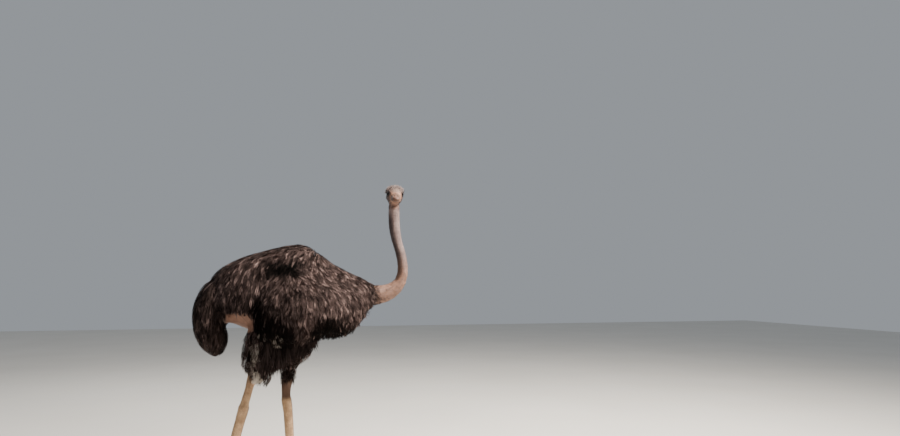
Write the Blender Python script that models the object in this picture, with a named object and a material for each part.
"""An ostrich standing still, life size, as a museum model.

Metres, +Z up. The bird faces +X, its right side is at -Y, and its soles stand on Z = 0.
Every sub-part is a closed solid out to the tips of its plumage. Neighbours meet with a
gap of JOIN_GAP, so that no two solids touch or overlap.
"""

import math

import bmesh
import bpy
from mathutils import Vector

# ---------------------------------------------------------------- driving dimensions
JOIN_GAP = 0.0004          # clearance between neighbouring solids
RIGHT, LEFT = -1.0, 1.0    # sign of Y on each side of the bird

# Trunk stations, nose to tail along X. Each row is: x, top of the back, height and half
# width of the plumage's widest line, half width and height where the flank tucks in
# under that line, and the bottom of the belly.
TRUNK = (
    (-0.520, 1.250, 1.190, 0.050, 0.045, 1.175, 1.135),
    (-0.490, 1.334, 1.142, 0.132, 0.090, 1.140, 1.085),
    (-0.420, 1.402, 1.104, 0.200, 0.125, 1.120, 1.030),
    (-0.310, 1.459, 1.088, 0.244, 0.155, 1.105, 0.980),
    (-0.180, 1.500, 1.082, 0.265, 0.185, 1.100, 0.940),
    (-0.050, 1.536, 1.095, 0.268, 0.222, 1.085, 0.872),
    (0.060, 1.550, 1.115, 0.260, 0.242, 1.085, 0.845),
    (0.130, 1.532, 1.125, 0.248, 0.235, 1.090, 0.872),
    (0.205, 1.480, 1.130, 0.232, 0.220, 1.095, 0.908),
    (0.300, 1.415, 1.140, 0.202, 0.194, 1.105, 0.938),
    (0.410, 1.358, 1.155, 0.158, 0.152, 1.120, 0.990),
    (0.500, 1.317, 1.170, 0.108, 0.104, 1.142, 1.065),
    (0.560, 1.282, 1.190, 0.072, 0.068, 1.168, 1.112),
)

# Right wing, drooped beside the trunk. Each row is: x, then distance out and height of
# its upper edge, of its fullest line and of its lower edge, and its thickness.
WING_RIGHT = (
    (-0.215, 0.250, 1.150, 0.262, 1.060, 0.250, 0.985, 0.030),
    (-0.180, 0.240, 1.240, 0.276, 1.080, 0.252, 0.935, 0.070),
    (-0.115, 0.212, 1.330, 0.294, 1.095, 0.258, 0.890, 0.100),
    (-0.030, 0.165, 1.405, 0.308, 1.115, 0.266, 0.875, 0.120),
    (0.060, 0.115, 1.460, 0.316, 1.130, 0.272, 0.880, 0.130),
    (0.140, 0.085, 1.452, 0.314, 1.135, 0.272, 0.916, 0.130),
    (0.230, 0.075, 1.400, 0.300, 1.130, 0.260, 0.930, 0.125),
    (0.320, 0.070, 1.352, 0.270, 1.125, 0.232, 0.934, 0.115),
    (0.400, 0.065, 1.312, 0.226, 1.130, 0.196, 0.955, 0.100),
    (0.468, 0.060, 1.270, 0.176, 1.140, 0.154, 1.012, 0.085),
    (0.520, 0.060, 1.215, 0.122, 1.150, 0.110, 1.080, 0.045),
)

# Left wing, the same wing with its long plumes hanging further forward.
WING_LEFT = (
    (-0.235, 0.250, 1.140, 0.262, 1.060, 0.250, 0.985, 0.030),
    (-0.195, 0.240, 1.230, 0.276, 1.080, 0.252, 0.930, 0.070),
    (-0.125, 0.212, 1.322, 0.294, 1.095, 0.258, 0.880, 0.100),
    (-0.035, 0.165, 1.402, 0.308, 1.115, 0.266, 0.862, 0.120),
    (0.060, 0.115, 1.460, 0.316, 1.130, 0.272, 0.868, 0.130),
    (0.140, 0.085, 1.452, 0.314, 1.135, 0.272, 0.896, 0.130),
    (0.230, 0.075, 1.400, 0.300, 1.130, 0.260, 0.912, 0.125),
    (0.320, 0.070, 1.352, 0.270, 1.125, 0.232, 0.925, 0.115),
    (0.400, 0.065, 1.312, 0.226, 1.130, 0.196, 0.955, 0.100),
    (0.468, 0.060, 1.270, 0.176, 1.140, 0.154, 1.012, 0.085),
    (0.520, 0.060, 1.215, 0.122, 1.150, 0.110, 1.080, 0.045),
)

# Tubes. Each row is: centre, then half the size fore and aft, and half the size sideways.
TAIL = (
    ((-0.400, 0.0, 1.310), 0.060, 0.120),
    ((-0.470, 0.0, 1.240), 0.078, 0.150),
    ((-0.510, 0.0, 1.150), 0.090, 0.172),
    ((-0.511, 0.0, 1.050), 0.099, 0.182),
    ((-0.490, 0.0, 0.950), 0.098, 0.168),
    ((-0.463, 0.0, 0.872), 0.074, 0.128),
    ((-0.443, 0.0, 0.818), 0.030, 0.055),
)
NECK = (
    ((0.530, 0.0, 1.196), 0.068, 0.068),
    ((0.590, 0.0, 1.201), 0.067, 0.064),
    ((0.655, 0.0, 1.211), 0.061, 0.056),
    ((0.719, 0.0, 1.240), 0.052, 0.049),
    ((0.766, 0.0, 1.292), 0.042, 0.042),
    ((0.786, 0.0, 1.365), 0.037, 0.038),
    ((0.781, 0.0, 1.437), 0.035, 0.036),
    ((0.767, 0.0, 1.505), 0.034, 0.035),
    ((0.745, 0.0, 1.572), 0.034, 0.034),
    ((0.728, -0.002, 1.645), 0.038, 0.035),
    ((0.719, -0.004, 1.725), 0.039, 0.036),
    ((0.718, -0.004, 1.800), 0.039, 0.036),
    ((0.719, -0.006, 1.872), 0.036, 0.035),
)
NECK_CUTS = (("neck_base", 0.0, 3.35), ("neck_lower", 3.35, 6.3),
             ("neck_middle", 6.3, 9.2), ("neck_upper", 9.2, 12.0))

LEG_RIGHT = (
    ((-0.060, -0.105, 1.080), 0.125, 0.085),
    ((-0.120, -0.130, 0.975), 0.130, 0.088),
    ((-0.165, -0.143, 0.880), 0.125, 0.084),
    ((-0.178, -0.146, 0.790), 0.118, 0.078),
    ((-0.165, -0.144, 0.712), 0.098, 0.068),
    ((-0.208, -0.142, 0.640), 0.056, 0.048),
    ((-0.244, -0.143, 0.572), 0.031, 0.029),
    ((-0.264, -0.145, 0.495), 0.038, 0.032),
    ((-0.281, -0.147, 0.425), 0.032, 0.026),
    ((-0.312, -0.150, 0.300), 0.031, 0.022),
    ((-0.344, -0.154, 0.170), 0.029, 0.022),
    ((-0.363, -0.156, 0.092), 0.031, 0.027),
    ((-0.371, -0.157, 0.060), 0.031, 0.029),
    ((-0.376, -0.157, 0.038), 0.017, 0.017),
)
LEG_LEFT = (
    ((0.035, 0.105, 1.080), 0.122, 0.085),
    ((0.070, 0.125, 0.985), 0.125, 0.085),
    ((0.072, 0.138, 0.890), 0.120, 0.081),
    ((0.050, 0.142, 0.808), 0.106, 0.074),
    ((0.014, 0.134, 0.738), 0.064, 0.058),
    ((0.004, 0.127, 0.640), 0.052, 0.046),
    ((-0.005, 0.122, 0.560), 0.035, 0.030),
    ((-0.002, 0.118, 0.490), 0.038, 0.032),
    ((0.010, 0.116, 0.420), 0.032, 0.026),
    ((0.021, 0.114, 0.300), 0.031, 0.022),
    ((0.031, 0.112, 0.170), 0.029, 0.022),
    ((0.037, 0.111, 0.092), 0.031, 0.027),
    ((0.039, 0.111, 0.060), 0.031, 0.029),
    ((0.040, 0.111, 0.038), 0.017, 0.017),
)
LEG_CUTS = (("thigh", 0.0, 4.4), ("shank", 4.4, 7.0), ("tarsus", 7.0, 13.0))
TOE_OUT_TURN = math.radians(5.0)       # how far the big toe turns out from +X
SIDE_TOE_TURN = math.radians(31.0)     # angle between the two toes

# Toes, in the foot's own frame: x forward from the toe joint, height of the middle,
# half width and half height. Their undersides are cut flat at the floor.
BIG_TOE = (
    (-0.046, 0.018, 0.014, 0.014),
    (-0.030, 0.028, 0.029, 0.029),
    (0.005, 0.038, 0.035, 0.040),
    (0.045, 0.031, 0.030, 0.033),
    (0.085, 0.024, 0.027, 0.026),
    (0.125, 0.025, 0.029, 0.027),
    (0.165, 0.020, 0.025, 0.025),
    (0.192, 0.015, 0.018, 0.018),
)
SIDE_TOE = (
    (-0.010, 0.020, 0.018, 0.020),
    (0.020, 0.027, 0.022, 0.028),
    (0.055, 0.021, 0.020, 0.022),
    (0.090, 0.020, 0.021, 0.021),
    (0.116, 0.015, 0.016, 0.015),
    (0.128, 0.011, 0.008, 0.009),
)
CLAW = (
    (0.176, 0.0210, 0.0125, 0.0150),
    (0.196, 0.0170, 0.0120, 0.0165),
    (0.216, 0.0110, 0.0095, 0.0130),
    (0.234, 0.0055, 0.0060, 0.0075),
    (0.244, 0.0025, 0.0025, 0.0035),
)

# Head, in its own frame: x towards the bill tip, y to the bird's left, z up. Rows are:
# x, top, bottom, half width, and height of the widest line.
HEAD_PLACE = Vector((0.717, -0.047, 1.899))
HEAD_TURN = math.radians(-94.0)        # turned to the bird's right
HEAD_NOD = math.radians(9.0)           # bill a little below level
HEAD = (
    (-0.094, 0.022, -0.022, 0.022, -0.002),
    (-0.084, 0.047, -0.042, 0.041, 0.000),
    (-0.058, 0.062, -0.054, 0.053, 0.006),
    (-0.028, 0.067, -0.057, 0.057, 0.014),
    (0.000, 0.0655, -0.054, 0.0565, 0.016),
    (0.024, 0.054, -0.049, 0.050, 0.010),
    (0.044, 0.037, -0.043, 0.041, -0.003),
    (0.058, 0.026, -0.038, 0.035, -0.010),
)
BILL_UPPER = (
    (0.0584, 0.0250, -0.0135, 0.0340, -0.0100),
    (0.0740, 0.0170, -0.0145, 0.0330, -0.0110),
    (0.0920, 0.0085, -0.0155, 0.0305, -0.0125),
    (0.1100, 0.0035, -0.0170, 0.0255, -0.0140),
    (0.1240, -0.0030, -0.0195, 0.0165, -0.0160),
    (0.1310, -0.0110, -0.0205, 0.0065, -0.0175),
)
BILL_LOWER = (
    (0.0584, -0.0139, -0.0375, 0.0325, -0.0180),
    (0.0740, -0.0149, -0.0345, 0.0310, -0.0190),
    (0.0920, -0.0159, -0.0320, 0.0285, -0.0200),
    (0.1080, -0.0174, -0.0290, 0.0230, -0.0210),
    (0.1190, -0.0199, -0.0270, 0.0145, -0.0225),
    (0.1250, -0.0214, -0.0250, 0.0055, -0.0230),
)
EYE_PLACE = Vector((0.004, 0.0385, 0.0165))
EYE_HALF = Vector((0.0225, 0.0235, 0.0215))

# ---------------------------------------------------------------- materials
COLOURS = {
    "plumage": ((0.075, 0.052, 0.042), 0.85),
    "tail_plumage": ((0.040, 0.030, 0.027), 0.85),
    "neck_skin": ((0.50, 0.36, 0.31), 0.65),
    "leg_skin": ((0.52, 0.38, 0.31), 0.60),
    "scaled_skin": ((0.56, 0.44, 0.36), 0.55),
    "bill_horn": ((0.47, 0.36, 0.30), 0.45),
    "claw_horn": ((0.16, 0.13, 0.11), 0.40),
    "eye": ((0.05, 0.028, 0.016), 0.06),
}


def material(name):
    """The named finish, made once."""
    found = bpy.data.materials.get(name)
    if found:
        return found
    colour, roughness = COLOURS[name]
    made = bpy.data.materials.new(name)
    made.use_nodes = True
    shader = made.node_tree.nodes["Principled BSDF"]
    shader.inputs["Base Color"].default_value = (*colour, 1.0)
    shader.inputs["Roughness"].default_value = roughness
    shader.inputs["Metallic"].default_value = 0.0
    return made


# ---------------------------------------------------------------- smooth lofts
def flat_row(row):
    """A station's numbers in one flat list, with any point in it spread out."""
    numbers = []
    for item in row:
        numbers.extend(item if isinstance(item, tuple) else (item,))
    return numbers


def between(rows, place):
    """The stations' values at a place counted in stations, on a smooth curve through them."""
    first = min(int(place), len(rows) - 2)
    share = place - first
    before, start, end, after = (
        flat_row(rows[min(max(first + step, 0), len(rows) - 1)]) for step in (-1, 0, 1, 2)
    )
    values = []
    for a, b, c, d in zip(before, start, end, after):
        slope_in, slope_out = (c - a) / 2, (d - b) / 2
        square, cube = share * share, share ** 3
        values.append(
            (2 * cube - 3 * square + 1) * b + (cube - 2 * square + share) * slope_in
            + (3 * square - 2 * cube) * c + (cube - square) * slope_out
        )
    return values


def places(low, high, per_station):
    """Evenly spaced places from low to high, about per_station of them to each station."""
    count = max(2, round((high - low) * per_station))
    return [low + (high - low) * step / count for step in range(count + 1)]


def solid(name, rings, finish, parent=None):
    """A closed loft through the rings, facing out, each end zipped shut across its width."""
    mesh = bmesh.new()
    loops = [[mesh.verts.new(point) for point in ring] for ring in rings]
    for near, far in zip(loops, loops[1:]):
        for index in range(len(near)):
            after = (index + 1) % len(near)
            mesh.faces.new((near[index], near[after], far[after], far[index]))
    for end in (loops[0], loops[-1]):
        last = len(end) - 1
        for index in range(len(end) // 2 - 1):
            mesh.faces.new((end[index], end[index + 1], end[last - index - 1], end[last - index]))
    bmesh.ops.triangulate(mesh, faces=mesh.faces[:])
    bmesh.ops.recalc_face_normals(mesh, faces=mesh.faces[:])
    data = bpy.data.meshes.new(name)
    mesh.to_mesh(data)
    mesh.free()
    data.shade_smooth()
    data.set_sharp_from_angle(angle=math.radians(50.0))
    data.materials.append(material(finish))
    made = bpy.data.objects.new(name, data)
    bpy.context.scene.collection.objects.link(made)
    made.parent = parent
    return made


def cut_away(body, neighbour):
    """Takes the neighbour, grown by the join gap, out of the body."""
    cutter = neighbour.copy()
    cutter.data = neighbour.data.copy()
    cutter.name = f"{body.name}_less_{neighbour.name}"
    bpy.context.scene.collection.objects.link(cutter)
    cutter.hide_render = True
    cutter.display_type = "WIRE"
    grow = cutter.modifiers.new("join gap", "DISPLACE")
    grow.strength = JOIN_GAP
    grow.mid_level = 0.0
    cut = body.modifiers.new(cutter.name, "BOOLEAN")
    cut.operation = "DIFFERENCE"
    cut.solver = "EXACT"
    cut.object = cutter


# ---------------------------------------------------------------- trunk and wings
def quarter(start, end, count, fullness=2.0):
    """Points on a quarter of a superellipse in YZ. It leaves start sideways, or end if
    start is the outer point, and the last point is left to the next stretch."""
    points = []
    for step in range(count):
        angle = math.pi / 2 * step / count
        if abs(start[0]) < abs(end[0]):
            out, down = math.sin(angle), math.cos(angle)
            points.append((end[0] * out ** (2 / fullness),
                           end[1] + (start[1] - end[1]) * down ** (2 / fullness)))
        else:
            out, down = math.cos(angle), math.sin(angle)
            points.append((start[0] * out ** (2 / fullness),
                           start[1] + (end[1] - start[1]) * down ** (2 / fullness)))
    return points


def trunk_ring(place):
    """One section of the trunk: a dome of back plumage, its edge, and the belly in it."""
    x, top, edge_z, edge_half, tuck_half, tuck_z, bottom = between(TRUNK, place)
    half = quarter((0.0, top), (edge_half, edge_z), 8, fullness=2.15)
    half.append((edge_half, edge_z))
    half.extend(quarter((tuck_half, min(tuck_z, edge_z + 0.6 * (edge_half - tuck_half))),
                        (0.0, bottom), 5, fullness=2.3))
    half.append((0.0, bottom))
    other = [(-y, z) for y, z in reversed(half[1:-1])]
    return [Vector((x, y, z)) for y, z in half + other]


def make_trunk():
    rings = [trunk_ring(place) for place in places(0.0, len(TRUNK) - 1.0, 2.0)]
    return solid("trunk", rings, "plumage")


def wing_ring(rows, place, side):
    """One section of a wing: a slab along its upper, fullest and lower lines."""
    x, up_y, up_z, mid_y, mid_z, low_y, low_z, thick = between(rows, place)
    across = 7
    outer, inner = [], []
    for step in range(across + 1):
        down = step / across
        upper, bend, lower = (1 - down) ** 2, 2 * down * (1 - down), down ** 2
        y = upper * up_y + bend * (2 * mid_y - (up_y + low_y) / 2) + lower * low_y
        z = upper * up_z + bend * (2 * mid_z - (up_z + low_z) / 2) + lower * low_z
        half = thick / 2 * (0.12 + 0.88 * math.sin(math.pi * min(max(down, 0.02), 0.98)) ** 0.6)
        outer.append(Vector((x, side * (y + half), z)))
        inner.append(Vector((x, side * (y - half), z)))
    return outer + inner[::-1]


def make_wing(name, rows, side):
    rings = [wing_ring(rows, place, side) for place in places(0.0, len(rows) - 1.0, 1.8)]
    return solid(name, rings, "plumage")


# ---------------------------------------------------------------- tubes: neck, tail, legs
def tube_ring(rows, place, sides, shift=0.0):
    """One section across a tube whose path bends in a plane near XZ."""
    x, y, z, deep, wide = between(rows, place)
    step = 0.01
    ahead = Vector(between(rows, min(place + step, len(rows) - 1.0))[:3])
    behind = Vector(between(rows, max(place - step, 0.0))[:3])
    along = (ahead - behind).normalized()
    sideways = Vector((0.0, 1.0, 0.0))
    fore = along.cross(sideways).normalized()
    sideways = fore.cross(along).normalized()
    centre = Vector((x, y, z)) + shift * along
    return [
        centre + fore * (deep * math.cos(turn)) + sideways * (wide * math.sin(turn))
        for turn in (2 * math.pi * index / sides for index in range(sides))
    ]


def tube(name, rows, low, high, sides, per_station, finish):
    """A length of a tube between two places, its ends held half a gap back."""
    stops = places(low, high, per_station)
    rings = []
    for place in stops:
        shift = 0.0
        if place == stops[0] and low > 0.0:
            shift = JOIN_GAP / 2
        if place == stops[-1] and high < len(rows) - 1.0:
            shift = -JOIN_GAP / 2
        rings.append(tube_ring(rows, place, sides, shift))
    return solid(name, rings, finish)


def make_neck():
    return [tube(name, NECK, low, high, 14, 1.5, "neck_skin") for name, low, high in NECK_CUTS]


def make_leg(side_name, rows):
    finishes = {"thigh": "plumage", "shank": "leg_skin", "tarsus": "scaled_skin"}
    sides = {"thigh": 14, "shank": 12, "tarsus": 12}
    return [
        tube(f"{part}_{side_name}", rows, low, high, sides[part], 1.6, finishes[part])
        for part, low, high in LEG_CUTS
    ]


# ---------------------------------------------------------------- feet
def toe_ring(rows, place, sides):
    """One section of a toe, flat where it meets the floor."""
    x, z, wide, tall = between(rows, place)
    ring = []
    for index in range(sides):
        turn = 2 * math.pi * (index + 0.5) / sides
        height = z + tall * math.cos(turn)
        ring.append(Vector((x, wide * math.sin(turn), max(height, 0.0))))
    return ring


def make_foot(side_name, side, tarsus, joint):
    """Two toes and the big toe's claw, on an empty at the toe joint."""
    foot = bpy.data.objects.new(f"foot_{side_name}", None)
    foot.location = (joint[0], joint[1], 0.0)
    foot.rotation_euler = (0.0, 0.0, side * TOE_OUT_TURN)
    bpy.context.scene.collection.objects.link(foot)
    big = solid(f"toe_big_{side_name}",
                [toe_ring(BIG_TOE, place, 12) for place in places(0.0, 7.0, 1.3)],
                "scaled_skin", foot)
    small = solid(f"toe_side_{side_name}",
                  [toe_ring(SIDE_TOE, place, 12) for place in places(0.0, 5.0, 1.3)],
                  "scaled_skin", foot)
    small.rotation_euler = (0.0, 0.0, side * SIDE_TOE_TURN)
    small.location = (0.009, side * 0.018, 0.0)
    claw = solid(f"claw_{side_name}",
                 [toe_ring(CLAW, place, 10) for place in places(0.0, 4.0, 1.5)],
                 "claw_horn", foot)
    cut_away(big, claw)
    cut_away(big, tarsus)
    cut_away(small, big)
    cut_away(small, tarsus)


# ---------------------------------------------------------------- head
def head_ring(rows, place, sides, flat_top=False, flat_bottom=False):
    """One section of the head or bill. A bill half is flat where it meets the other."""
    x, top, bottom, wide, level = between(rows, place)
    ring = []
    for index in range(sides):
        turn = 2 * math.pi * index / sides
        out, up = math.sin(turn), math.cos(turn)
        reach = (top - level) if up > 0 else (level - bottom)
        blunt = (flat_top and up > 0) or (flat_bottom and up < 0)
        rise = math.copysign(abs(up) ** (0.45 if blunt else 0.86), up)
        ring.append(Vector((x, wide * math.copysign(abs(out) ** 0.86, out), level + rise * reach)))
    return ring


def make_eye(name, side, parent):
    """One eye: a ball, flatter from side to side, set into the head."""
    stops, around = 8, 14
    rings = []
    for row in range(1, stops):
        polar = math.pi * row / stops
        ring = []
        for index in range(around):
            turn = 2 * math.pi * index / around
            ring.append(Vector((
                EYE_PLACE.x + EYE_HALF.x * math.sin(polar) * math.cos(turn),
                side * (EYE_PLACE.y + EYE_HALF.y * math.cos(polar)),
                EYE_PLACE.z + EYE_HALF.z * math.sin(polar) * math.sin(turn),
            )))
        rings.append(ring)
    return solid(name, rings, "eye", parent)


def make_head():
    """Head, both halves of the bill and the eyes, on an empty that turns the head."""
    place = bpy.data.objects.new("head_place", None)
    place.location = HEAD_PLACE
    place.rotation_euler = (0.0, HEAD_NOD, HEAD_TURN)
    bpy.context.scene.collection.objects.link(place)
    head = solid("head", [head_ring(HEAD, spot, 20) for spot in places(0.0, 7.0, 1.8)],
                 "neck_skin", place)
    solid("bill_upper",
          [head_ring(BILL_UPPER, spot, 16, flat_bottom=True) for spot in places(0.0, 5.0, 1.6)],
          "bill_horn", place)
    solid("bill_lower",
          [head_ring(BILL_LOWER, spot, 16, flat_top=True) for spot in places(0.0, 5.0, 1.6)],
          "bill_horn", place)
    for name, side in (("eye_right", RIGHT), ("eye_left", LEFT)):
        cut_away(head, make_eye(name, side, place))
    return head


# ---------------------------------------------------------------- the bird
def centre_on_floor():
    """Puts the middle of the whole bird's plan over the origin."""
    stance = bpy.data.objects.new("stance", None)
    bpy.context.scene.collection.objects.link(stance)
    bpy.context.view_layer.update()
    graph = bpy.context.evaluated_depsgraph_get()
    low, high = Vector((1e9, 1e9)), Vector((-1e9, -1e9))
    for thing in bpy.context.scene.objects:
        if thing.type != "MESH" or thing.hide_render:
            continue
        shape = thing.evaluated_get(graph)
        for vertex in shape.data.vertices:
            point = (shape.matrix_world @ vertex.co).xy
            low = Vector(map(min, low, point))
            high = Vector(map(max, high, point))
    for thing in bpy.context.scene.objects:
        if thing is not stance and thing.parent is None:
            thing.parent = stance
    middle = (low + high) / 2
    stance.location = (-middle.x, -middle.y, 0.0)
    print("plan centre moved by", round(-middle.x, 4), round(-middle.y, 4))


def main():
    for thing in list(bpy.data.objects):
        bpy.data.objects.remove(thing, do_unlink=True)
    trunk = make_trunk()
    wings = [make_wing("wing_right", WING_RIGHT, RIGHT), make_wing("wing_left", WING_LEFT, LEFT)]
    tail = tube("tail", TAIL, 0.0, len(TAIL) - 1.0, 18, 2.0, "tail_plumage")
    neck = make_neck()
    head = make_head()
    cut_away(tail, trunk)
    cut_away(neck[0], trunk)
    cut_away(neck[-1], head)
    for wing in wings:
        cut_away(wing, trunk)
    for side_name, side, rows in (("right", RIGHT, LEG_RIGHT), ("left", LEFT, LEG_LEFT)):
        thigh, shank, tarsus = make_leg(side_name, rows)
        cut_away(thigh, trunk)
        cut_away(wings[0] if side == RIGHT else wings[1], thigh)
        make_foot(side_name, side, tarsus, rows[-2][0])
    centre_on_floor()


main()
